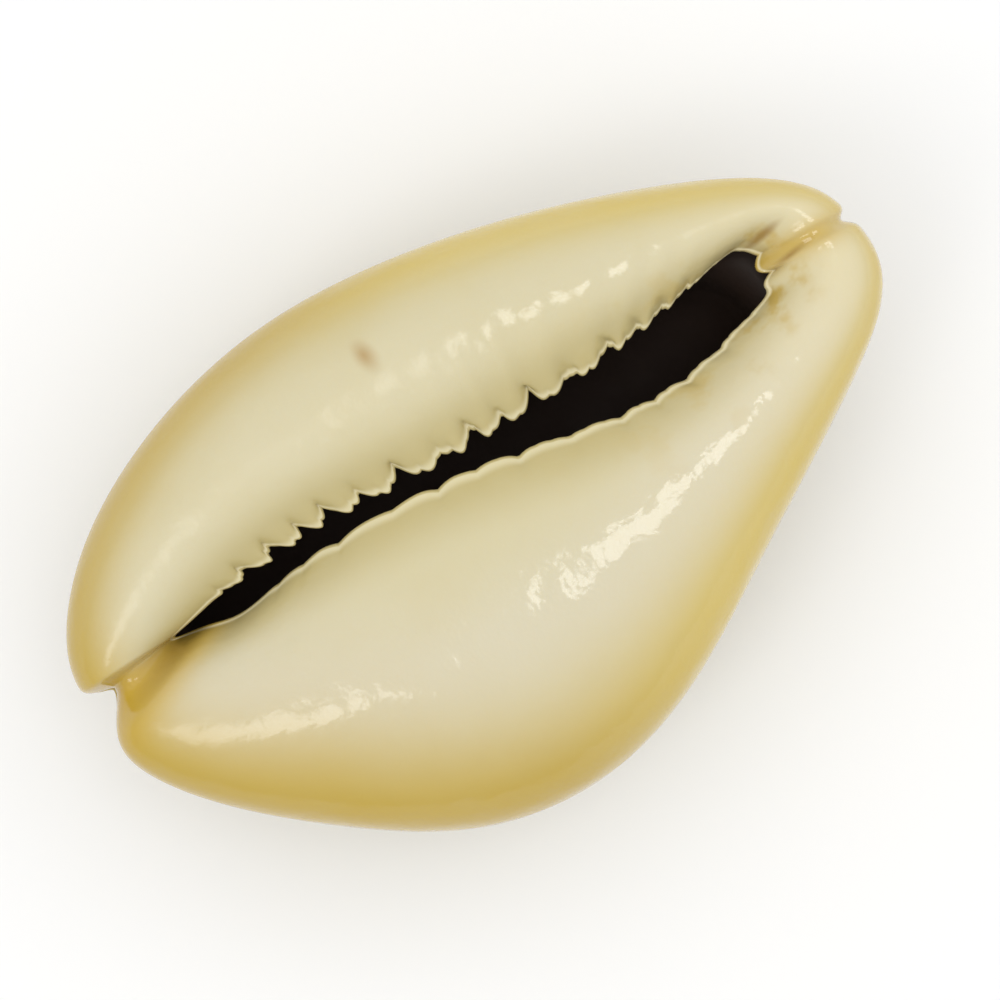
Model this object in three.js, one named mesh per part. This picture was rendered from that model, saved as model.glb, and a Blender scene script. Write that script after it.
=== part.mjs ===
// A cowrie shell lying on its back, with the toothed slit of its base facing up.
// Units are millimetres and +Z is up. +X points to the front end and +Y to the outer lip.
// The origin is the centre of the bounding box, at the level of the flat spot that it rests on.
//
// The shell is one closed skin, drawn as columns of points round the slit. Each column starts in
// the middle of the back, spreads down to the edge, crosses the base to the slit, turns in over
// the toothed lip and lines the hollow inside.
import * as THREE from 'three';

// Driving dimensions
const LENGTH = 25;
const WIDTH = 15.8;
const HEIGHT = 11.8;

// The back: a dome, with a rolled edge round it
const FLAT_DEPTH = 0.22; // how much of the dome the resting flat takes off
const BACK_CENTRE = [-0.9, -0.1]; // the middle of the dome, seen from above
const DOME_ACROSS = 0.88; // how far out the dome reaches to the sides, as a part of the shell
const DOME_ALONG = 0.82; // how far out the dome reaches to the ends
const DOME_FULLNESS = 0.88; // below 1, the dome is fuller than half an ellipse
const ROLL = 2.2; // how quickly the rolled edge turns in under the shell
const ROLL_BLEND = 0.13; // how softly the rolled edge runs into the dome
const NOTCH_FADE = 0.3; // the part of the way over the back where the end notches fade out

// The hollow
const WALL = 1.4; // thickness of the shell round the hollow
const LIP_BOTTOM = 7.9; // level of the underside of the lips
const UNDERCUT = 0.35; // how much the slit widens under the lips
const CAVITY_LEVEL = 6.2; // level of the widest part of the hollow
const HOLLOW_TURN = 0.4; // the part of the lining that is above its widest part

// Teeth. Each row is placed by the numbers of the stations where it starts and ends.
const OUTER_TEETH = { first: 2.1, last: 9.7, count: 18, height: 0.9, reach: 1.15, ease: 0.6 };
const FRONT_TEETH = { first: 9.7, last: 12.3, count: 3, height: 0.4, reach: 1.2, ease: 0 };
const INNER_TEETH = { first: 12.3, last: 20.6, count: 14, height: 0.2, reach: 0.9, ease: 0 };
const TEETH = [OUTER_TEETH, FRONT_TEETH, INNER_TEETH];
const RISE = 0.12; // how much of a tooth stands up from the lip; the rest stands into the slit
const RIPPLE = { at: 6.7, half: 1.3, reach: 4.4, height: 0.04 }; // low waves over the outer lip
const GROOVE = { depth: 0.5, swing: 0.3, pace: 2.9, start: 0.6 }; // uneven depth of the grooves
const UNEVEN = { size: 0.16, pace: 5.3, start: 0.7 }; // uneven widths of the teeth
const TOOTH_TIP = 0.5; // how far a tooth's tip stands out, as a part of its height
const TOOTH_ROUND = 0.55; // below 1, the grooves are narrower than the teeth
const TOOTH_FADE = 6; // a row fades out over one part in this many of its length, at each end
const TOOTH_DOWN = 0.5; // how much of a tooth is lost down the lip's side

// Canals: where the slit runs out at each end, and the notch it leaves in the edge
const BACK_CANAL = { at: 0.15, before: 1.05, after: 0.35, depth: 0.8, notch: 0.85 };
const FRONT_CANAL = { at: 11, before: 0.16, after: 0.16, depth: 0.25, notch: 0.35 };
const CANALS = [BACK_CANAL, FRONT_CANAL];
const CANAL_SHAPE = 4; // a higher power is flatter in the middle, with steeper sides
const NOTCH_SHAPE = 2;
const NOTCH_WIDTH = 0.8; // width of a notch, as a part of its canal's width

// The lips
const LIP_LEAN = 0.25; // how far the slope towards the slit reaches, as a part of the lip's width
const LIP_ROUND = 0.14; // radius of the lip's edge at the slit
const LIP_TURN = 0.3; // the part of the lip's side that is on this radius

// Stations round the shell, from the back canal along the outer lip to the front canal, and
// back along the inner lip. The curves through them are smooth and only pass near the points.
// Each row: edge x, y, z, slit x, y, z, rise of the lip above the slit, and above the edge.
const STATIONS = [
  [-12.7, 2.3, 8.9, -9.8, 2.6, 9.6, 0.7, 2.3], // back canal
  [-12.7, 3.4, 8.9, -9.3, 2.64, 9.9, 0.9, 2.4],
  [-12.0, 4.8, 8.7, -8.3, 2.72, 10.0, 1.1, 2.7],
  [-9.9, 6.6, 8.4, -7.0, 2.82, 10.2, 1.2, 3.1],
  [-6.4, 7.9, 8.2, -4.5, 2.85, 10.4, 1.3, 3.5],
  [-2.4, 8.3, 8.1, -1.9, 2.2, 10.55, 1.3, 3.7],
  [1.6, 7.5, 8.1, 0.7, 1.85, 10.6, 1.3, 3.7],
  [5.4, 6.15, 8.3, 3.3, 1.5, 10.5, 1.3, 3.5],
  [8.9, 4.4, 8.6, 5.9, 1.35, 10.25, 1.2, 3.0],
  [11.5, 2.7, 8.9, 8.3, 1.45, 9.9, 1.0, 2.6],
  [12.6, 1.3, 9.1, 9.6, 1.45, 9.7, 0.8, 2.3],
  [12.7, 0.3, 9.2, 9.7, 0.7, 9.7, 0.8, 2.2], // front canal
  [12.8, -1.0, 9.1, 9.6, 0.0, 9.7, 0.9, 2.3],
  [12.0, -2.5, 8.9, 8.4, -0.25, 9.9, 1.1, 2.7],
  [8.6, -4.2, 8.5, 6.5, -0.6, 10.25, 1.3, 3.3],
  [4.6, -6.0, 8.1, 4.4, -0.35, 10.55, 1.3, 3.9],
  [1.2, -7.7, 7.8, 2.3, 0.35, 10.7, 1.2, 4.4],
  [-2.4, -8.4, 7.7, 0.2, 1.1, 10.7, 1.1, 4.6],
  [-6.2, -7.4, 7.8, -2.2, 1.65, 10.55, 1.1, 4.4],
  [-9.2, -4.7, 8.2, -4.6, 2.0, 10.25, 1.1, 3.9],
  [-11.6, -2.0, 8.6, -6.4, 2.05, 9.75, 1.2, 3.2],
  [-12.8, 0.2, 8.8, -7.4, 1.95, 9.5, 1.2, 2.7],
  [-12.8, 1.3, 8.9, -8.4, 2.0, 9.3, 1.0, 2.4],
];
const ROUND = STATIONS.length;

// How finely the skin is divided
const STEPS_A_TOOTH = 4;
const END_STEPS = 22;
const BACK_STEPS = 9;
const BASE_STEPS = 10;
const LIP_STEPS = 4;
const HOLLOW_STEPS = 5;
const FLAT_TRIES = 30;

const mix = (a, b, w) => a + (b - a) * w;
const limit = (value) => Math.min(1, Math.max(0, value));
const bezier = (a, b, c, d, w) =>
  a * (1 - w) ** 3 + 3 * b * w * (1 - w) ** 2 + 3 * c * w * w * (1 - w) + d * w ** 3;
const slope = (a, b, c, d, w) =>
  3 * ((b - a) * (1 - w) ** 2 + 2 * (c - b) * w * (1 - w) + (d - c) * w * w);
const blendedMost = (a, b, blend) => (a + b + Math.hypot(a - b, blend)) / 2;

// Values of the stations at t, on a closed cubic B-spline
function spline(t) {
  const start = Math.floor(t);
  const f = t - start;
  const weights = [
    (1 - f) ** 3 / 6,
    (3 * f ** 3 - 6 * f ** 2 + 4) / 6,
    (-3 * f ** 3 + 3 * f ** 2 + 3 * f + 1) / 6,
    f ** 3 / 6,
  ];
  return STATIONS[0].map((_, column) =>
    weights.reduce((sum, weight, i) => {
      const row = STATIONS[(start + i - 1 + ROUND) % ROUND];
      return sum + weight * row[column];
    }, 0));
}

// 1 in the middle of a canal, and falling off on each side of it
function inCanal(t, canal, wider, power) {
  const gap = (t - canal.at + ROUND * 1.5) % ROUND - ROUND / 2;
  const half = gap < 0 ? canal.before : canal.after;
  return Math.exp(-(Math.abs(gap / (half * wider)) ** power));
}

// How far along a row of teeth t is, and the same counted in teeth, slightly unevenly
function placeIn(t, row) {
  const along = (t - row.first) / (row.last - row.first);
  const shift = Math.sin(UNEVEN.pace * along * Math.sqrt(row.count) + UNEVEN.start);
  return { along, place: row.count * along + UNEVEN.size * shift };
}

// A row of rounded teeth with narrow grooves, fading out at both ends
function tooth(t, row) {
  const { along, place } = placeIn(t, row);
  const cut = GROOVE.depth + GROOVE.swing * Math.sin(GROOVE.pace * place + GROOVE.start);
  const fade = limit(TOOTH_FADE * Math.min(along, 1 - along)) * (1 - row.ease * along);
  return fade * (Math.abs(Math.sin(Math.PI * place)) ** TOOTH_ROUND * (TOOTH_TIP + cut) - cut);
}

// Low waves over the outer lip, in step with its teeth
function wave(t) {
  const near = Math.exp(-(((t - RIPPLE.at) / RIPPLE.half) ** 2));
  return -RIPPLE.height * near * Math.cos(2 * Math.PI * placeIn(t, OUTER_TEETH).place);
}

// What is needed of the shell at one place round the slit
function placeAt(t) {
  const [ex, ey, edgeLevel, sx, sy, slitLevel, slitRise, edgeRise] = spline(t);
  const width = Math.hypot(ex - sx, ey - sy);
  const spoke = [ex - BACK_CENTRE[0], ey - BACK_CENTRE[1]];
  const reach = Math.hypot(...spoke);
  const total = (values) => values.reduce((sum, value) => sum + value, 0);
  return {
    slit: [sx, sy],
    edgeLevel,
    slitLevel,
    heights: [slitLevel, slitLevel + slitRise, edgeLevel + edgeRise, edgeLevel],
    width,
    out: [(ex - sx) / width, (ey - sy) / width],
    spoke,
    reach,
    dome: mix(DOME_ACROSS, DOME_ALONG, (spoke[0] / reach) ** 2),
    notch: total(CANALS.map((canal) => inCanal(t, canal, NOTCH_WIDTH, NOTCH_SHAPE) * canal.notch)),
    depth: total(CANALS.map((canal) => inCanal(t, canal, 1, CANAL_SHAPE) * canal.depth)),
    teeth: TEETH.map((row) => tooth(t, row)),
    wave: wave(t),
  };
}

// How far the teeth stand out into the slit, at a distance from it
function relief(p, reach) {
  return TEETH.reduce((sum, row, i) =>
    sum + p.teeth[i] * row.height * limit(1 - reach / row.reach) ** 2, 0);
}

// How far the teeth, and the low waves that run on from them, stand up from the lip
const swell = (p, reach) =>
  p.wave * limit(1 - (reach / RIPPLE.reach) ** 2) ** 2 + RISE * relief(p, reach);

const offSlit = (p, shift, z) => [p.slit[0] + p.out[0] * shift, p.slit[1] + p.out[1] * shift, z];

// The back, with w from 0 in its middle to 1 at the edge
function onBack(p, w) {
  const angle = w * Math.PI / 2;
  const fall = 1 - Math.max(0, Math.cos(angle)) ** DOME_FULLNESS;
  const level = (p.edgeLevel + FLAT_DEPTH) * fall - FLAT_DEPTH;
  const dome = p.dome * Math.sin(angle) ** DOME_FULLNESS;
  const roll = 1 - ROLL * Math.cos(angle) ** 2;
  const round = blendedMost(dome, roll, ROLL_BLEND) / blendedMost(p.dome, 1, ROLL_BLEND);
  const pull = p.notch * limit(1 - (1 - w) / NOTCH_FADE) ** 2;
  const x = BACK_CENTRE[0] + (p.spoke[0] - p.out[0] * pull) * round;
  const y = BACK_CENTRE[1] + (p.spoke[1] - p.out[1] * pull) * round;
  return [x, y, Math.max(0, level)];
}

// The base, with w from 0 at the slit to 1 at the edge
function onBase(p, w) {
  const across = p.width - p.notch - LIP_ROUND;
  const r = LIP_ROUND + across * bezier(0, LIP_LEAN, 1, 1, w);
  const z = bezier(...p.heights, w) - p.depth * Math.sqrt(1 - w * w);
  const run = across * slope(0, LIP_LEAN, 1, 1, w) + 1e-6;
  const climb = slope(...p.heights, w);
  const up = swell(p, r) / Math.hypot(run, climb);
  return offSlit(p, r - relief(p, r) - up * climb, z + up * run);
}

// The rounded edge of the lip and the side of the slit below it, with w from 0 to 1 downwards
function onLip(p, w) {
  const angle = Math.min(1, w / LIP_TURN) * Math.PI / 2;
  const below = Math.max(0, (w - LIP_TURN) / (1 - LIP_TURN));
  const side = mix(p.slitLevel - p.depth - LIP_ROUND, LIP_BOTTOM, below);
  const z = side + (LIP_ROUND + swell(p, LIP_ROUND)) * Math.cos(angle);
  const inward = relief(p, LIP_ROUND) * (1 - TOOTH_DOWN * w);
  return offSlit(p, LIP_ROUND * (1 - Math.sin(angle)) + UNDERCUT * w ** 3 - inward, z);
}

// The lining of the hollow, with w from 0 under the lip to 1 in the middle of the floor
function inHollow(p, w) {
  const widest = p.dome - WALL / p.reach;
  const [wideX, wideY] = p.spoke.map((value, axis) => BACK_CENTRE[axis] + value * widest);
  if (w < HOLLOW_TURN) {
    const angle = w / HOLLOW_TURN * Math.PI / 2;
    const [lipX, lipY] = offSlit(p, UNDERCUT, LIP_BOTTOM);
    const z = mix(CAVITY_LEVEL, LIP_BOTTOM, Math.cos(angle));
    return [mix(lipX, wideX, Math.sin(angle)), mix(lipY, wideY, Math.sin(angle)), z];
  }
  const angle = (1 - w) / (1 - HOLLOW_TURN) * Math.PI / 2;
  const z = mix(CAVITY_LEVEL, WALL, Math.cos(angle));
  return [
    mix(BACK_CENTRE[0], wideX, Math.sin(angle)),
    mix(BACK_CENTRE[1], wideY, Math.sin(angle)),
    z,
  ];
}

// Where the columns of points stand round the slit: a fixed number on each tooth, and on the end
function columns() {
  const spread = (from, to, steps) =>
    Array.from({ length: steps }, (_, i) => mix(from, to, i / steps));
  const teeth = TEETH.map((row) => spread(row.first, row.last, row.count * STEPS_A_TOOTH));
  const end = spread(INNER_TEETH.last, ROUND + OUTER_TEETH.first, END_STEPS);
  return [...teeth.flat(), ...end].map((t) => t % ROUND);
}

// The part of the way across the back where the dome reaches the resting plane
function flatEdge(p) {
  let low = 0;
  let high = 1;
  for (let i = 0; i < FLAT_TRIES; i += 1) {
    const middle = (low + high) / 2;
    if (onBack(p, middle)[2] > 0) {
      high = middle;
    } else {
      low = middle;
    }
  }
  return low;
}

// One column of points, from the edge of the resting flat to the hollow's floor
function column(t) {
  const p = placeAt(t);
  const flat = flatEdge(p);
  const points = [];
  for (let i = 0; i < BACK_STEPS; i += 1) {
    points.push(onBack(p, mix(flat, 1, i / BACK_STEPS)));
  }
  for (let i = 0; i < BASE_STEPS; i += 1) {
    points.push(onBase(p, 1 - i / BASE_STEPS));
  }
  for (let i = 0; i < LIP_STEPS; i += 1) {
    points.push(onLip(p, i / LIP_STEPS));
  }
  for (let i = 0; i < HOLLOW_STEPS; i += 1) {
    points.push(inHollow(p, i / HOLLOW_STEPS));
  }
  return points;
}

// Scales and shifts the points so that the shell's box has the driving dimensions
function fitToBox(points) {
  const sizes = [LENGTH, WIDTH, HEIGHT];
  const lows = sizes.map((_, axis) => Math.min(...points.map((point) => point[axis])));
  const highs = sizes.map((_, axis) => Math.max(...points.map((point) => point[axis])));
  return points.map((point) => point.map((value, axis) => {
    const scaled = (value - lows[axis]) * sizes[axis] / (highs[axis] - lows[axis]);
    return axis === 2 ? scaled : scaled - sizes[axis] / 2;
  }));
}

// Triangles over a ring of columns with the same number of rows, closed at a point at each end
function skin(around, rows, firstPole, lastPole) {
  const index = [];
  const at = (i, j) => (i % around) * rows + j;
  for (let i = 0; i < around; i += 1) {
    index.push(firstPole, at(i, 0), at(i + 1, 0));
    for (let j = 0; j < rows - 1; j += 1) {
      index.push(at(i, j), at(i, j + 1), at(i + 1, j));
      index.push(at(i + 1, j), at(i, j + 1), at(i + 1, j + 1));
    }
    index.push(lastPole, at(i + 1, rows - 1), at(i, rows - 1));
  }
  return index;
}

function shellGeometry() {
  const ring = columns().map(column);
  const points = ring.flat();
  points.push([...BACK_CENTRE, 0], [...BACK_CENTRE, WALL]);
  const geometry = new THREE.BufferGeometry();
  geometry.setAttribute('position', new THREE.Float32BufferAttribute(fitToBox(points).flat(), 3));
  geometry.setIndex(skin(ring.length, ring[0].length, points.length - 2, points.length - 1));
  geometry.computeVertexNormals();
  return geometry;
}

const porcelain = new THREE.MeshStandardMaterial({ color: 0xddd3a8, roughness: 0.22 });
const shell = new THREE.Mesh(shellGeometry(), porcelain);
shell.name = 'shell';

const cowrie = new THREE.Group();
cowrie.add(shell);

export default cowrie;
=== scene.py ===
"""A cowrie shell lying on its back with the toothed slit up, on a plain pale floor.

The shell is one fine mesh. It is drawn in millimetres as columns of points round the slit. Each
column starts in the middle of the back, climbs to the edge, crosses the base to the slit, turns
in over the lip and lines the hollow. The mesh is then fitted to the CAD shell's box.
"""

import math

import bpy
import numpy as np
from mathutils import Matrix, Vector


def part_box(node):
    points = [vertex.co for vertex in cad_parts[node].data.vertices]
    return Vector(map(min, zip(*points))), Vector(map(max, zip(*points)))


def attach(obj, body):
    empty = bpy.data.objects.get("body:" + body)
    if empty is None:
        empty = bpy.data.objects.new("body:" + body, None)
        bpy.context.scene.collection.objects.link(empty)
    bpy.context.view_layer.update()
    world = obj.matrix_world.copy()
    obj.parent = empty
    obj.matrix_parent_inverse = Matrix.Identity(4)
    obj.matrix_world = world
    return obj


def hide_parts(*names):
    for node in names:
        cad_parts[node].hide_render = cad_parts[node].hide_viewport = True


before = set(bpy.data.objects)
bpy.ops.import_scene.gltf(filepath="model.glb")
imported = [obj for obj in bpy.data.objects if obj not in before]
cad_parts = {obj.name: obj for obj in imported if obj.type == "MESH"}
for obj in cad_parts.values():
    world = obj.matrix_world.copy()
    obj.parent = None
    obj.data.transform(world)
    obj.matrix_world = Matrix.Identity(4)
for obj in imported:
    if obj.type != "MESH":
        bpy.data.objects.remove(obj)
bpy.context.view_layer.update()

# The back, in millimetres
FLAT_DEPTH = 0.22  # how much of the round back the small resting flat takes away
BACK_CENTRE = np.array([-0.9, -0.1])
DOME_ACROSS, DOME_ALONG = 0.88, 0.82  # how far the dome reaches, as a part of the way to the edge
DOME_FULLNESS = 0.88  # below 1, the dome is fuller than half an ellipse
ROLL = 2.2  # how quickly the rolled edge turns in under the shell
ROLL_BLEND = 0.13  # how softly the rolled edge runs into the dome
NOTCH_FADE = 0.3  # how far the notches at the canals reach over the back, as a part

# The lips and the hollow
LIP_LEAN = 0.25  # how far the lip's slope towards the slit reaches, as a part of the lip's width
LIP_ROUND = 0.14  # radius of the lip's edge at the slit
LIP_TURN = 0.3  # the part of the lip's side that this round edge takes
LIP_BOTTOM = 7.9  # height at which the hollow begins
GROOVE_FADE = 0.5  # how much of the teeth's height is lost down the lip's side
UNDERCUT = 0.35  # how far the lips' sides spread below their edges
WALL = 1.4
CAVITY_LEVEL = 6.2  # height at which the hollow is widest
CAVITY_TURN = 0.4  # the part of the lining that lies above that height

# Rows of teeth. Places round the slit are counted in stations, which are listed further down.
# Heights and reaches are in millimetres, and ease is how much lower the row gets towards its end.
OUTER_TEETH = {"first": 2.1, "last": 9.7, "count": 18, "height": 1.0, "reach": 0.8, "ease": 0.6}
FRONT_TEETH = {"first": 9.7, "last": 12.3, "count": 3, "height": 0.4, "reach": 1.2, "ease": 0.0}
INNER_TEETH = {"first": 12.3, "last": 20.6, "count": 14, "height": 0.2, "reach": 0.9, "ease": 0.0}
OUTER_CHIPS = {"first": 2.1, "last": 9.7, "count": 43, "height": 0.32, "reach": 0.45, "ease": 0.0}
INNER_CHIPS = {"first": 12.3, "last": 17.5, "count": 22, "height": 0.1, "reach": 0.4, "ease": 0.5}
RELIEFS = (OUTER_TEETH, FRONT_TEETH, INNER_TEETH, OUTER_CHIPS, INNER_CHIPS)
RISE = 0.06  # how far a tooth stands up from the lip, as a part of how far it juts into the slit
RIPPLE = {"at": 6.7, "half": 1.3, "reach": 4.4, "height": 0.04}  # low waves over the outer lip
UNEVEN_SHIFT, UNEVEN_PACE, UNEVEN_START = 0.16, 5.3, 0.7  # how a row's teeth are spread unevenly
CUT, CUT_SWING, CUT_PACE, CUT_START = 0.5, 0.3, 2.9, 0.6  # depth of the grooves between the teeth
TOOTH_TOP = 0.5
TOOTH_FULLNESS = 0.8  # below 1, the teeth are broader than the grooves
ROW_FADE = 6  # how quickly the teeth grow in from both ends of a row
MOST_LEAN, LEAN_PACE, STRAIGHT_AT = 0.25, 0.1, 5  # how the grooves lean along the outer lip

# The canals at the two ends of the slit
BACK_CANAL = {"at": 0.15, "before": 1.05, "after": 0.35, "depth": 0.8, "notch": 0.85}
FRONT_CANAL = {"at": 11, "before": 0.22, "after": 0.22, "depth": 0.1, "notch": 0.28}
CANALS = (BACK_CANAL, FRONT_CANAL)
CANAL_SHAPE = 4  # the higher, the steeper the canal's sides
NOTCH_SHAPE = 2
NOTCH_WIDTH = 0.8  # the notch in the edge, as a part of the canal's width

# Stations round the shell, from the back canal along the outer lip to the front canal, and
# back along the inner lip. The curves through them are smooth and only pass near the points.
# Each row: edge x, y, z, slit x, y, z, rise of the lip above the slit, and above the edge.
STATIONS = np.array([
    [-12.7, 2.3, 8.9, -9.9, 2.65, 9.6, 0.7, 2.3],  # back canal
    [-12.7, 3.4, 8.9, -9.3, 2.64, 9.9, 0.9, 2.4],
    [-12.0, 4.8, 8.7, -8.3, 2.72, 10.0, 1.1, 2.7],
    [-9.9, 6.6, 8.4, -7.0, 2.82, 10.2, 1.2, 3.1],
    [-6.4, 7.9, 8.2, -4.5, 2.85, 10.4, 1.3, 3.5],
    [-2.4, 8.3, 8.1, -1.9, 2.2, 10.55, 1.3, 3.7],
    [1.6, 7.5, 8.1, 0.7, 1.85, 10.6, 1.3, 3.7],
    [5.4, 6.15, 8.3, 3.3, 1.5, 10.5, 1.3, 3.5],
    [8.9, 4.4, 8.6, 5.9, 1.35, 10.25, 1.2, 3.0],
    [11.5, 2.7, 8.9, 8.3, 1.45, 9.9, 1.0, 2.6],
    [12.6, 1.3, 9.1, 9.9, 1.6, 9.7, 0.8, 2.3],
    [12.7, 0.3, 9.2, 9.75, 0.7, 9.7, 0.8, 2.2],  # front canal
    [12.8, -1.0, 9.1, 9.75, -0.1, 9.7, 0.9, 2.3],
    [12.0, -2.5, 8.9, 8.4, -0.25, 9.9, 1.1, 2.7],
    [8.6, -4.2, 8.5, 6.5, -0.6, 10.25, 1.3, 3.3],
    [4.6, -6.0, 8.1, 4.4, -0.35, 10.55, 1.3, 3.9],
    [1.2, -7.7, 7.8, 2.3, 0.35, 10.7, 1.2, 4.4],
    [-2.4, -8.4, 7.7, 0.2, 1.1, 10.7, 1.1, 4.6],
    [-6.2, -7.4, 7.8, -2.2, 1.65, 10.55, 1.1, 4.4],
    [-9.2, -4.7, 8.2, -4.6, 2.0, 10.25, 1.1, 3.9],
    [-11.6, -2.0, 8.6, -6.4, 2.05, 9.75, 1.2, 3.2],
    [-12.8, 0.2, 8.8, -7.8, 1.9, 9.5, 1.2, 2.7],
    [-12.8, 1.3, 8.9, -8.6, 2.35, 9.3, 1.0, 2.4],
])
ROUND = len(STATIONS)

# How finely the skin is divided: columns round it, and steps along each column
OUTER_COLUMNS = 410
INNER_COLUMNS = 238
END_COLUMNS = 104
BACK_STEPS = 34
BASE_STEPS = 62
LIP_STEPS = 18
HOLLOW_STEPS = 10

# The path along a column, as the material knows it
MIDDLE_OF_BACK, EDGE, SLIT, MIDDLE_OF_FLOOR = 0, 1, 2, 4

# Stretches round the shell with a colour or gloss of their own: middle station and half-width
INNER_RIM = (18.3, 3.2)
FRONT_END = (11.4, 2.6)
BACK_TIP = (0.9, 1.2)
POLISHED = (7.3, 1.1)  # the ripples on the outer lip
POLISHED_SHAPE = 4
SATIN_EASE = 2
BACK_SATIN = (21, 1.5)
# the painted sheen on the lips is at full strength from this station round to the back canal; the
# second value is how softly it comes in
SHEEN_START, SHEEN_EASE = 9.5, 3
BACK_STAIN = {"at": 22.6, "before": 1.3, "after": 0.75}  # the amber patch in the back canal
FRONT_STAIN_WIDTH = 2.0  # the stain in the front canal, in widths of the canal
FRONT_STAIN_SHAPE = 2

# Bands along the shell, in millimetres
RIM_WIDTH = 1.1
RIM_WIDENINGS = ((INNER_RIM, 1.7), (FRONT_END, -0.75), (BACK_TIP, 0.5))
RIM_FADE = 8  # how quickly the rim's colour ends on the back
CREST_SHEEN_WIDTH = 2.2  # half the width of the painted sheen along the top of a lip
OUTER_SHEEN = 0.35  # how strong the painted sheen is on the outer lip, as a part of the inner one
SLIT_SHADE_WIDTH = 1.9
FAR_FROM_SLIT = 9.0  # for the middle of the back, which has no place on the base

# Where one colour or gloss runs into the next, along the path
GOLD_RING = (0.58, 0.74)
PALE_MARGIN = (0.76, 0.9)
LINE_END = (0.62, 0.5)
BASE_START = (0.95, 1.05)
STAIN_START = (1.0, 1.15)
FRONT_STAIN_START = (1.0, 1.5)
MARK_START = (1.0, 1.1)
FLECKS = (1.5, 1.85, 2.0, 2.1)
LIP_EDGE_HIGHLIGHT = (1.97, 2.0, 2.04, 2.1)
DULL_START = (2.1, 2.5)
HOLLOW_SHADE_START = (2.15, 2.7)

# Noise patterns: scale, detail and stretch
CLOUD = (260, 3)
STREAK = (420, 4, (0.22, 1, 1))
SPECKS = (900, 3)
WAVY = (330, 2)
FINE = (1100, 3)
WANDER = 0.16  # how far the cloud moves the borders between colours, along the path

# Small marks, in metres. Those on the base have a centre, and a stretch of the plan round it.
CREASES = (((0.0101, 0.0013), (0.5, 2.2)), ((0.0104, 0.0004), (0.35, 2.0)))
CREASE_RADIUS = 0.0004
MARK_CENTRE, MARK_STRETCH, MARK_RADIUS = (-0.0005, 0.0054), (1.3, 0.75), 0.0006
GROWTH_LINE = 0.0016  # how far the line along the back lies from the shell's middle plane
GROWTH_LINE_EDGE, GROWTH_LINE_CORE = 0.00014, 0.00004  # half its width, and half its dark middle
PALE_FROM, PALE_TO = -0.004, 0.004  # where the rim turns paler, along the shell's length


def mix(a, b, w):
    return a + (b - a) * w


def eased(w):
    """0 up to 0, 1 from 1 on, and smooth between them."""
    w = np.clip(w, 0, 1)
    return w * w * (3 - 2 * w)


def bezier(a, b, c, d, w):
    return a * (1 - w) ** 3 + 3 * b * w * (1 - w) ** 2 + 3 * c * w * w * (1 - w) + d * w ** 3


def slope(a, b, c, d, w):
    return 3 * ((b - a) * (1 - w) ** 2 + 2 * (c - b) * w * (1 - w) + (d - c) * w * w)


def spline(t):
    """The stations' values at t, on a closed cubic B-spline."""
    start = np.floor(t).astype(int)
    f = (t - start)[:, None]
    weights = [
        (1 - f) ** 3 / 6,
        (3 * f ** 3 - 6 * f ** 2 + 4) / 6,
        (-3 * f ** 3 + 3 * f ** 2 + 3 * f + 1) / 6,
        f ** 3 / 6,
    ]
    return sum(weight * STATIONS[(start + i - 1) % ROUND] for i, weight in enumerate(weights))


def near(t, middle, half, shape=2):
    """1 in the middle of a stretch, and falling off on each side of it."""
    return np.exp(-np.abs((t - middle) / half) ** shape)


def in_canal(t, canal, wider=1.0, shape=CANAL_SHAPE):
    """The same for a canal, whose two sides may differ in width, and past the last station."""
    gap = (t - canal["at"] + ROUND / 2) % ROUND - ROUND / 2
    half = np.where(gap < 0, canal["before"], canal["after"])
    return near(gap, 0, half * wider, shape)


def place_in(t, row):
    """How far along a row of teeth t is, and the same counted in teeth, slightly unevenly."""
    along = (t - row["first"]) / (row["last"] - row["first"])
    shift = UNEVEN_SHIFT * np.sin(UNEVEN_PACE * along * row["count"] ** 0.5 + UNEVEN_START)
    return along, row["count"] * along + shift


def tooth(t, row):
    """A row of rounded teeth with grooves between them, fading out at both ends."""
    along, place = place_in(t, row)
    cut = CUT + CUT_SWING * np.sin(CUT_PACE * place + CUT_START)
    fade = np.clip(np.minimum(ROW_FADE * along, ROW_FADE * (1 - along)), 0, 1)
    height = fade * (1 - row["ease"] * along)
    return height * (np.abs(np.sin(np.pi * place)) ** TOOTH_FULLNESS * (TOOTH_TOP + cut) - cut)


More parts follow.
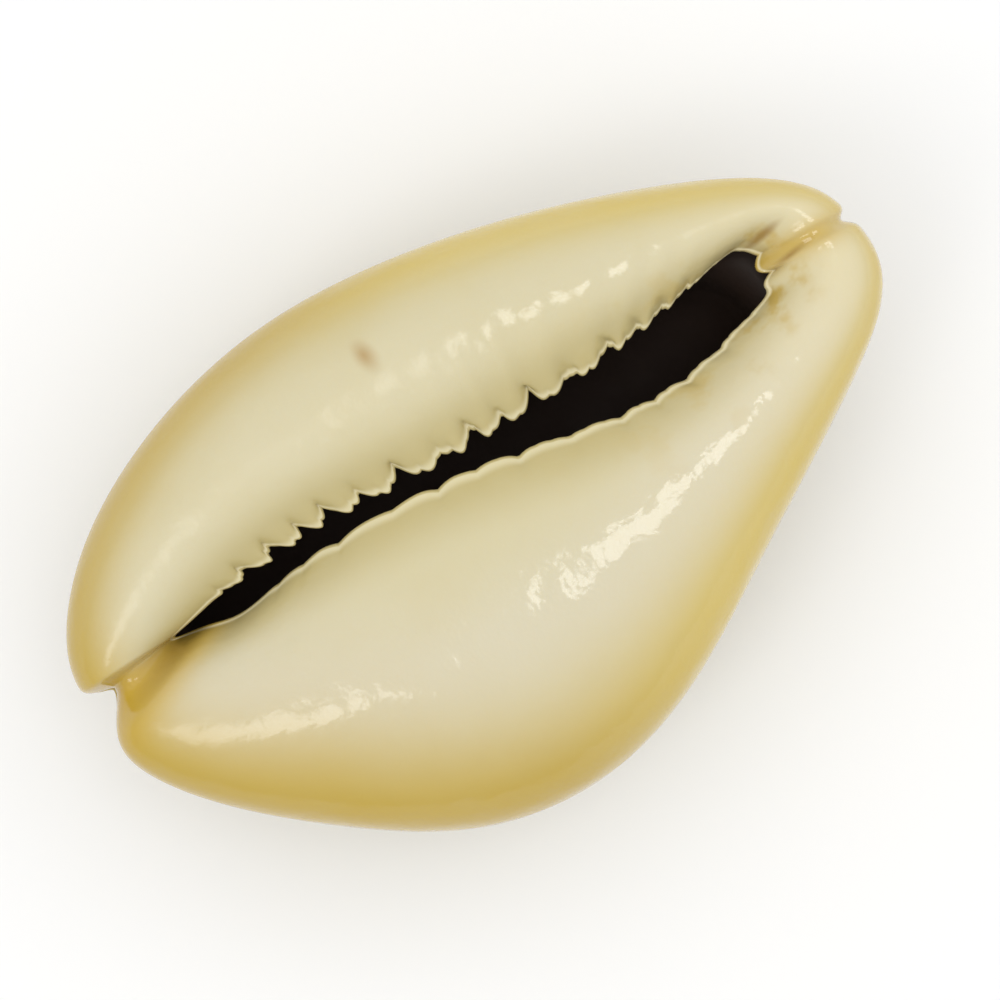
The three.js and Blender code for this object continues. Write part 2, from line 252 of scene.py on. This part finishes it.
class Places:
    """What is needed of the shell at each place round the slit."""

    def __init__(self, t):
        edge_x, edge_y, self.edge_z, slit_x, slit_y, self.slit_z, self.slit_rise, self.edge_rise = (
            spline(t).T)
        self.t = t
        self.edge = np.stack([edge_x, edge_y])
        self.slit = np.stack([slit_x, slit_y])
        self.width = np.hypot(*(self.edge - self.slit))
        self.out = (self.edge - self.slit) / self.width
        self.spoke = self.edge - BACK_CENTRE[:, None]
        self.reach = np.hypot(*self.spoke)
        self.dome = mix(DOME_ACROSS, DOME_ALONG, (self.spoke[0] / self.reach) ** 2)
        self.notch = sum(in_canal(t, canal, NOTCH_WIDTH, NOTCH_SHAPE) * canal["notch"]
                         for canal in CANALS)
        self.depth = sum(in_canal(t, canal) * canal["depth"] for canal in CANALS)
        lean = np.clip(LEAN_PACE * (t - STRAIGHT_AT), -MOST_LEAN, MOST_LEAN)
        self.lean = np.where(t < OUTER_TEETH["last"], lean, 0)
        strength = RIPPLE["height"] * near(t, RIPPLE["at"], RIPPLE["half"])
        self.wave = -strength * np.cos(2 * np.pi * place_in(t, OUTER_TEETH)[1])

    def relief(self, reach):
        """How far the teeth stand out, at a distance from the slit."""
        t = self.t + self.lean * reach
        return sum(tooth(t, row) * row["height"] * np.clip(1 - reach / row["reach"], 0, 1) ** 2
                   for row in RELIEFS)

    def swell(self, reach):
        """How far the teeth, and the low waves that run on from them, stand up from the lip."""
        wave = self.wave * np.clip(1 - (reach / RIPPLE["reach"]) ** 2, 0, 1) ** 2
        return wave + RISE * self.relief(reach)

    def off_slit(self, shift, z):
        """Points at a distance out from the slit."""
        x, y = self.slit + self.out * shift
        return np.stack([x, y, z + 0 * x], axis=1)


def blended_most(a, b, blend):
    """The larger of two values, with a soft change from one to the other."""
    return (a + b + np.sqrt((a - b) ** 2 + blend ** 2)) / 2


def on_back(p, w):
    """The dome of the back and the rolled edge round it, from 0 in the middle to 1 at the edge."""
    angle = w * math.pi / 2
    level = (p.edge_z + FLAT_DEPTH) * (1 - np.cos(angle) ** DOME_FULLNESS) - FLAT_DEPTH
    roll = 1 - ROLL * np.cos(angle) ** 2
    outwards = blended_most(p.dome * np.sin(angle) ** DOME_FULLNESS, roll, ROLL_BLEND)
    outwards = outwards / blended_most(p.dome, 1, ROLL_BLEND)
    pull = p.notch * np.clip(1 - (1 - w) / NOTCH_FADE, 0, 1) ** 2
    x, y = BACK_CENTRE[:, None] + (p.spoke - p.out * pull) * outwards
    return np.stack([x, y, np.maximum(0, level)], axis=1)


def on_base(p, w):
    """The face of the lip, from 0 at the slit to 1 at the edge."""
    across = p.width - p.notch - LIP_ROUND
    heights = (p.slit_z, p.slit_z + p.slit_rise, p.edge_z + p.edge_rise, p.edge_z)
    from_slit = LIP_ROUND + across * bezier(0, LIP_LEAN, 1, 1, w)
    z = bezier(*heights, w) - p.depth * math.sqrt(1 - w * w)
    run = across * slope(0, LIP_LEAN, 1, 1, w)
    climb = slope(*heights, w)
    length = np.hypot(run, climb)
    swell = p.swell(from_slit)
    shift = from_slit - p.relief(from_slit) - swell * climb / length
    return p.off_slit(shift, z + swell * run / length)


def on_lip(p, w):
    """The rounded edge of the lip and the side of the slit below it, from 0 to 1 at the hollow."""
    angle = min(1, w / LIP_TURN) * math.pi / 2
    below = max(0, (w - LIP_TURN) / (1 - LIP_TURN))
    relief = p.relief(LIP_ROUND) * (1 - GROOVE_FADE * w)
    rise = p.swell(LIP_ROUND) * math.cos(angle)
    z = mix(p.slit_z - p.depth - LIP_ROUND, LIP_BOTTOM, below) + LIP_ROUND * math.cos(angle) + rise
    shift = LIP_ROUND * (1 - math.sin(angle)) + UNDERCUT * w ** 3 - relief
    return p.off_slit(shift, z)


def in_hollow(p, w):
    """The lining, from 0 under the lip to 1 in the middle of the hollow's floor."""
    widest = BACK_CENTRE[:, None] + p.spoke * (p.dome - WALL / p.reach)
    if w < CAVITY_TURN:
        angle = w / CAVITY_TURN * math.pi / 2
        z = mix(CAVITY_LEVEL, LIP_BOTTOM, math.cos(angle))
        x, y = mix(p.slit + p.out * UNDERCUT, widest, math.sin(angle))
    else:
        angle = (1 - w) / (1 - CAVITY_TURN) * math.pi / 2
        z = mix(CAVITY_LEVEL, WALL, math.cos(angle))
        x, y = mix(BACK_CENTRE[:, None], widest, math.sin(angle))
    return np.stack([x, y, z + 0 * x], axis=1)


def flat_edge(p):
    """The part of the way across the back where the dome leaves the resting plane."""
    halvings = 30
    low, high = np.zeros_like(p.t), np.ones_like(p.t)
    for _ in range(halvings):
        middle = (low + high) / 2
        above = on_back(p, middle)[:, 2] > 0
        low, high = np.where(above, low, middle), np.where(above, middle, high)
    return low


def columns():
    """Places round the slit, closest together along the outer lip and round the front end."""
    def spread(start, end, steps):
        return start + (end - start) * np.arange(steps) / steps

    outer = spread(OUTER_TEETH["first"], FRONT_TEETH["last"], OUTER_COLUMNS)
    inner = spread(INNER_TEETH["first"], INNER_TEETH["last"], INNER_COLUMNS)
    back = spread(INNER_TEETH["last"], ROUND + OUTER_TEETH["first"], END_COLUMNS)
    return np.concatenate([outer, inner, back]) % ROUND


def skin_points(p):
    """Rows of points from the resting flat to the hollow's floor, and how far along each row is.

    The path runs from 0 in the middle of the back to 1 at the edge, 2 at the slit, 3 under the
    lip and 4 in the middle of the hollow.
    """
    flat = flat_edge(p)
    rows, path = [], []
    for i in range(BACK_STEPS):
        w = mix(flat, 1, i / BACK_STEPS)
        rows.append(on_back(p, w))
        path.append(w)
    for i in range(BASE_STEPS):
        rows.append(on_base(p, 1 - i / BASE_STEPS))
        path.append(1 + i / BASE_STEPS + 0 * p.t)
    for i in range(LIP_STEPS):
        rows.append(on_lip(p, i / LIP_STEPS))
        path.append(2 + i / LIP_STEPS + 0 * p.t)
    for i in range(HOLLOW_STEPS):
        rows.append(in_hollow(p, i / HOLLOW_STEPS))
        path.append(3 + i / HOLLOW_STEPS + 0 * p.t)
    return np.array(rows), np.array(path)


def skin_faces(rows, around):
    """Quads between the rows, and a fan of triangles to a point at each end."""
    at = np.arange(rows * around).reshape(rows, around)
    here, there = at, np.roll(at, -1, axis=1)
    quads = np.stack([here[:-1], here[1:], there[1:], there[:-1]], axis=-1).reshape(-1, 4)
    first, last = rows * around, rows * around + 1
    fans = [(first, a, b) for a, b in zip(here[0], there[0])]
    fans += [(last, b, a) for a, b in zip(here[-1], there[-1])]
    return [tuple(map(int, face)) for face in quads] + [tuple(map(int, face)) for face in fans]


def fit_to_box(points, low, high):
    old_low, old_high = points.min(axis=0), points.max(axis=0)
    return low + (points - old_low) * (high - low) / (old_high - old_low)


def rim_strength(p, path, from_slit):
    """How much of the straw colour shows just inside the edge: a band of uneven width."""
    width = RIM_WIDTH + sum(more * near(p.t, *stretch) for stretch, more in RIM_WIDENINGS)
    return near(from_slit, p.width, width) * np.clip(path, 0, 1) ** RIM_FADE


def satin_strength(p):
    """How dull the surface is: the outer lip but for its ripples, and the inner lip's back end."""
    outer = eased(np.minimum(p.t, FRONT_CANAL["at"] - p.t) / SATIN_EASE)
    polished = near(p.t, *POLISHED, POLISHED_SHAPE)
    return outer * (1 - 0.8 * polished) + 0.75 * near(p.t, *BACK_SATIN)


def crest_sheen_strength(p, path, from_slit):
    """How strong the painted sheen is: along the top of both lips, and more on the inner one."""
    crest_sheen = near(from_slit, p.width / 2, CREST_SHEEN_WIDTH)
    inner = eased(np.minimum(p.t - SHEEN_START, ROUND - p.t) / SHEEN_EASE)
    return crest_sheen * mix(OUTER_SHEEN, 1, inner) * (path > EDGE)


def store_surface(mesh, p, path):
    """Keeps what the material needs at each point, and at the two end points after the rows."""
    def store(name, values, at_back=0.0, at_floor=0.0):
        values = np.broadcast_to(values, path.shape).ravel()
        layer = mesh.attributes.new(name, "FLOAT", "POINT")
        layer.data.foreach_set("value", np.concatenate([values, [at_back, at_floor]]).astype("f4"))

    from_slit = p.width * bezier(0, LIP_LEAN, 1, 1, np.clip(SLIT - path, 0, 1))
    store("path", path, MIDDLE_OF_BACK, MIDDLE_OF_FLOOR)
    store("from_slit", from_slit, at_back=FAR_FROM_SLIT)
    store("rim", rim_strength(p, path, from_slit))
    store("back_canal", in_canal(p.t, BACK_STAIN))
    store("front_canal", in_canal(p.t, FRONT_CANAL, FRONT_STAIN_WIDTH, FRONT_STAIN_SHAPE))
    store("front_end", near(p.t, *FRONT_END))
    store("satin", satin_strength(p))
    store("crest_sheen", crest_sheen_strength(p, path, from_slit))


def make_shell():
    p = Places(columns())
    rows, path = skin_points(p)
    ends = [[*BACK_CENTRE, 0], [*BACK_CENTRE, WALL]]
    points = np.concatenate([rows.reshape(-1, 3), ends])
    low, high = (np.array(corner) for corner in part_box("shell"))
    points = fit_to_box(points, low, high)
    mesh = bpy.data.meshes.new("cowrie_shell")
    mesh.from_pydata(points.tolist(), [], skin_faces(*path.shape))
    mesh.update()
    mesh.shade_smooth()
    store_surface(mesh, p, path)
    shell = bpy.data.objects.new("cowrie_shell", mesh)
    bpy.context.collection.objects.link(shell)
    return shell


def srgb(r, g, b):
    """A colour given as it looks on a screen, from 0 to 255."""
    def linear(c):
        c /= 255
        return c / 12.92 if c <= 0.04045 else ((c + 0.055) / 1.055) ** 2.4
    return (linear(r), linear(g), linear(b), 1)


CREAM = srgb(211, 201, 161)
PALE_CREAM = srgb(226, 214, 172)
SHADED_CREAM = srgb(206, 193, 143)
SLIT_SHADE_CREAM = srgb(186, 169, 106)
EDGE_HIGHLIGHT_CREAM = srgb(232, 223, 186)
PEARL_SHEEN = srgb(215, 207, 182)
STRAW = srgb(193, 162, 50)
PALE_STRAW = srgb(214, 186, 74)
GOLD = srgb(206, 174, 72)
OLIVE = srgb(176, 169, 100)
GREY_GREEN = srgb(146, 143, 90)
AMBER = srgb(196, 162, 50)
TAN = srgb(176, 142, 84)
BROWN = srgb(150, 112, 36)
HOLLOW_SHADE = srgb(52, 38, 30)


class Nodes:
    """Short ways to add and join shader nodes."""

    def __init__(self, material):
        material.use_nodes = True
        self.tree = material.node_tree
        self.shader = self.tree.nodes["Principled BSDF"]

    def add(self, kind, **settings):
        node = self.tree.nodes.new(kind)
        for name, value in settings.items():
            setattr(node, name, value)
        return node

    def join(self, source, target):
        self.tree.links.new(source, target)

    def feed(self, target, value):
        if isinstance(value, bpy.types.NodeSocket):
            self.join(value, target)
        else:
            target.default_value = value

    def attribute(self, name):
        return self.add("ShaderNodeAttribute", attribute_name=name).outputs["Fac"]

    def math(self, operation, a, b=0.0, clamp=False):
        node = self.add("ShaderNodeMath", operation=operation, use_clamp=clamp)
        self.feed(node.inputs[0], a)
        self.feed(node.inputs[1], b)
        return node.outputs[0]

    def plus(self, a, b, clamp=False):
        return self.math("ADD", a, b, clamp)

    def minus(self, a, b):
        return self.math("SUBTRACT", a, b)

    def times(self, a, b):
        return self.math("MULTIPLY", a, b)

    def between(self, value, low, high):
        """0 where value is at low, 1 at high, and smooth between them."""
        node = self.add("ShaderNodeMapRange", interpolation_type="SMOOTHSTEP")
        self.feed(node.inputs["Value"], value)
        node.inputs["From Min"].default_value = low
        node.inputs["From Max"].default_value = high
        return node.outputs["Result"]

    def band(self, value, start, rise, fall, end):
        """1 from rise to fall, and 0 before start and after end."""
        return self.times(self.between(value, start, rise), self.between(value, end, fall))

    def colour(self, factor, a, b):
        """Colour a where the factor is 0, and b where it is 1."""
        node = self.add("ShaderNodeMix", data_type="RGBA")
        self.feed(node.inputs["Factor"], factor)
        self.feed(node.inputs[6], a)
        self.feed(node.inputs[7], b)
        return node.outputs[2]

    def tint(self, colour, other, mask, strength):
        """Colour with some of the other colour where the mask is 1."""
        return self.colour(self.times(mask, strength), colour, other)

    def part(self, vector, axis):
        node = self.add("ShaderNodeSeparateXYZ")
        self.join(vector, node.inputs[0])
        return node.outputs[axis]

    def distance(self, where, centre, stretch):
        """How far a place is from an upright line, in plan, with the plan stretched."""
        x = self.times(self.minus(self.part(where, "X"), centre[0]), stretch[0])
        y = self.times(self.minus(self.part(where, "Y"), centre[1]), stretch[1])
        return self.math("SQRT", self.plus(self.times(x, x), self.times(y, y)))

    def noise(self, where, scale, detail=2.0, stretch=(1, 1, 1)):
        mapping = self.add("ShaderNodeMapping")
        mapping.inputs["Scale"].default_value = stretch
        self.join(where, mapping.inputs["Vector"])
        node = self.add("ShaderNodeTexNoise")
        node.inputs["Scale"].default_value = scale
        node.inputs["Detail"].default_value = detail
        self.join(mapping.outputs[0], node.inputs["Vector"])
        return node.outputs["Fac"]


class ShellNodes(Nodes):
    """The shell's nodes, with what all parts of its material use."""

    def __init__(self, material):
        super().__init__(material)
        self.where = self.add("ShaderNodeTexCoord").outputs["Object"]
        self.path = self.attribute("path")
        self.cloud = self.noise(self.where, *CLOUD)
        self.wander = self.times(self.minus(self.cloud, 0.5), WANDER)

    def away(self, centre, stretch, uneven):
        """How far a place is from the middle of a mark with an uneven outline."""
        return self.plus(self.distance(self.where, centre, stretch), self.times(self.wander, uneven))


def back_colour(n):
    """Mottled olive with lengthwise streaks and a growth line, a gold ring and a pale margin."""
    colour = n.colour(n.between(n.noise(n.where, *STREAK), 0.35, 0.7), OLIVE, GREY_GREEN)
    colour = n.tint(colour, STRAW, n.between(n.cloud, 0.45, 0.75), strength=0.55)
    across = n.plus(n.part(n.where, "Y"), n.times(n.wander, 0.006))
    from_line = n.math("ABSOLUTE", n.minus(across, GROWTH_LINE))
    line = n.between(from_line, GROWTH_LINE_EDGE, GROWTH_LINE_CORE)
    colour = n.tint(colour, BROWN, n.times(line, n.between(n.path, *LINE_END)), strength=0.35)
    path = n.plus(n.path, n.wander)
    colour = n.colour(n.between(path, *GOLD_RING), colour, GOLD)
    return n.colour(n.between(path, *PALE_MARGIN), colour, SHADED_CREAM)


def base_colour(n):
    """Cream, with painted sheen along the top of the lips, paler at the front end and with painted
    shade towards the slit.
    """
    colour = n.tint(CREAM, SHADED_CREAM, n.between(n.cloud, 0.35, 0.75), strength=0.35)
    # Painted sheen: a paler, greyer cream along the top of both lips.
    colour = n.tint(colour, PEARL_SHEEN, n.attribute("crest_sheen"), strength=0.8)
    front = n.attribute("front_end")
    colour = n.tint(colour, PALE_CREAM, front, strength=0.7)
    # Painted shade: the lip turns darker and yellower towards the slit, less so at the front end.
    slit_shade = n.between(n.attribute("from_slit"), SLIT_SHADE_WIDTH, 0.0)
    return n.tint(colour, SLIT_SHADE_CREAM, slit_shade, strength=n.minus(0.7, n.times(front, 0.45)))


def with_rim(n, colour):
    """A straw band along the edge, paler towards the front."""
    rim = n.plus(n.attribute("rim"), n.times(n.wander, 0.8), clamp=True)
    forward = n.between(n.part(n.where, "X"), PALE_FROM, PALE_TO)
    return n.colour(rim, colour, n.colour(forward, STRAW, PALE_STRAW))


def with_stains(n, colour):
    """Amber canals, with amber flecks and two brown creases at the front end."""
    front = n.times(n.attribute("front_canal"), n.between(n.path, *FRONT_STAIN_START))
    canals = n.plus(n.attribute("back_canal"), front, clamp=True)
    stain = n.times(canals, n.between(n.path, *STAIN_START))
    colour = n.tint(colour, AMBER, stain, strength=0.8)
    specks = n.between(n.noise(n.where, *SPECKS), 0.5, 0.66)
    flecks = n.times(n.times(specks, n.attribute("front_end")), n.band(n.path, *FLECKS))
    colour = n.tint(colour, AMBER, flecks, strength=0.8)
    for centre, stretch in CREASES:
        crease = n.between(n.away(centre, stretch, uneven=0.006), CREASE_RADIUS, 0.0)
        crease = n.times(crease, n.between(n.path, *MARK_START))
        colour = n.tint(colour, BROWN, crease, strength=0.8)
    return colour


def with_mark(n, colour):
    """One small tan mark on the outer lip."""
    mark = n.between(n.away(MARK_CENTRE, MARK_STRETCH, uneven=0.004), MARK_RADIUS, 0.0)
    return n.tint(colour, TAN, n.times(mark, n.between(n.path, *MARK_START)), strength=0.8)


def add_gloss(n):
    """Porcelain gloss, a little cloudy, satin in places and dull inside."""
    gloss = n.plus(n.times(n.cloud, 0.06), 0.07)
    gloss = n.plus(gloss, n.times(n.attribute("satin"), 0.15))
    dull = n.times(n.between(n.path, *DULL_START), 0.5)
    n.join(n.plus(gloss, dull), n.shader.inputs["Roughness"])


def add_bump(n):
    bump = n.add("ShaderNodeBump")
    bump.inputs["Strength"].default_value = 0.8
    bump.inputs["Distance"].default_value = 0.00017
    height = n.plus(n.noise(n.where, *WAVY), n.times(n.noise(n.where, *FINE), 0.25))
    n.join(height, bump.inputs["Height"])
    n.join(bump.outputs["Normal"], n.shader.inputs["Normal"])


def porcelain():
    material = bpy.data.materials.new("cowrie_porcelain")
    n = ShellNodes(material)
    colour = n.colour(n.between(n.path, *BASE_START), back_colour(n), base_colour(n))
    colour = with_rim(n, colour)
    colour = with_stains(n, colour)
    colour = with_mark(n, colour)
    # Painted highlight: a thin pale line along the rounded edge of each lip.
    colour = n.tint(colour, EDGE_HIGHLIGHT_CREAM, n.band(n.path, *LIP_EDGE_HIGHLIGHT), strength=0.6)
    # Painted shade: the side of the slit below the lip's edge and the lining of the hollow are near
    # black.
    colour = n.colour(n.between(n.path, *HOLLOW_SHADE_START), colour, HOLLOW_SHADE)
    n.join(colour, n.shader.inputs["Base Color"])
    add_gloss(n)
    add_bump(n)
    n.shader.inputs["Subsurface Weight"].default_value = 0.15
    n.shader.inputs["Subsurface Radius"].default_value = (1.0, 0.8, 0.5)
    n.shader.inputs["Subsurface Scale"].default_value = 0.0006
    n.shader.inputs["IOR"].default_value = 1.6
    return material


def make_floor():
    half = 1.0
    corners = [(-half, -half, 0), (half, -half, 0), (half, half, 0), (-half, half, 0)]
    mesh = bpy.data.meshes.new("floor")
    mesh.from_pydata(corners, [], [(0, 1, 2, 3)])
    floor = bpy.data.objects.new("floor", mesh)
    bpy.context.collection.objects.link(floor)
    material = bpy.data.materials.new("pale_floor")
    n = Nodes(material)
    n.shader.inputs["Base Color"].default_value = (0.93, 0.935, 0.94, 1)
    n.shader.inputs["Roughness"].default_value = 0.9
    mesh.materials.append(material)


LAMP_TARGET = (0, 0, 0.008)  # in the middle of the shell
CAMERA_HEIGHT = 0.163
IMAGE_TURN = math.radians(38)  # how far the shell lies turned in the view


def aim(lamp, place, target):
    """Puts a lamp at a place and turns it to look at the target."""
    lamp.location = place
    direction = np.array(target) - np.array(place)
    tilt = math.atan2(math.hypot(direction[0], direction[1]), -direction[2])
    turn = math.atan2(-direction[0], direction[1])
    lamp.rotation_euler = (tilt, 0, turn)


def make_lamp(name, place, size, power):
    data = bpy.data.lights.new(name, "AREA")
    data.shape = "RECTANGLE"
    data.size, data.size_y = size
    data.energy = power
    lamp = bpy.data.objects.new(name, data)
    bpy.context.collection.objects.link(lamp)
    aim(lamp, place, LAMP_TARGET)
    return lamp


def make_lights():
    overhead = make_lamp("overhead_panel", (0.02, 0.02, 0.4), (0.5, 0.5), 0.9)
    overhead.visible_glossy = False
    make_lamp("front_softbox", (0.032, 0.0, 0.3), (0.055, 0.07), 0.042)
    make_lamp("back_softbox", (-0.12, -0.008, 0.265), (0.06, 0.11), 0.06)
    world = bpy.data.worlds.new("studio")
    bpy.context.scene.world = world
    world.use_nodes = True
    background = world.node_tree.nodes["Background"]
    background.inputs["Color"].default_value = (1, 1, 1, 1)
    background.inputs["Strength"].default_value = 0.62


def make_camera():
    data = bpy.data.cameras.new("camera")
    data.lens = 200
    data.clip_start = 0.01
    camera = bpy.data.objects.new("camera", data)
    bpy.context.collection.objects.link(camera)
    low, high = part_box("shell")
    camera.location = ((low[0] + high[0]) / 2, (low[1] + high[1]) / 2, CAMERA_HEIGHT)
    camera.rotation_euler = (0, 0, -IMAGE_TURN)
    bpy.context.scene.camera = camera


shell = make_shell()
shell.data.materials.append(porcelain())
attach(shell, "root")
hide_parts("shell")
make_floor()
make_lights()
make_camera()
bpy.context.scene.view_settings.view_transform = "Standard"
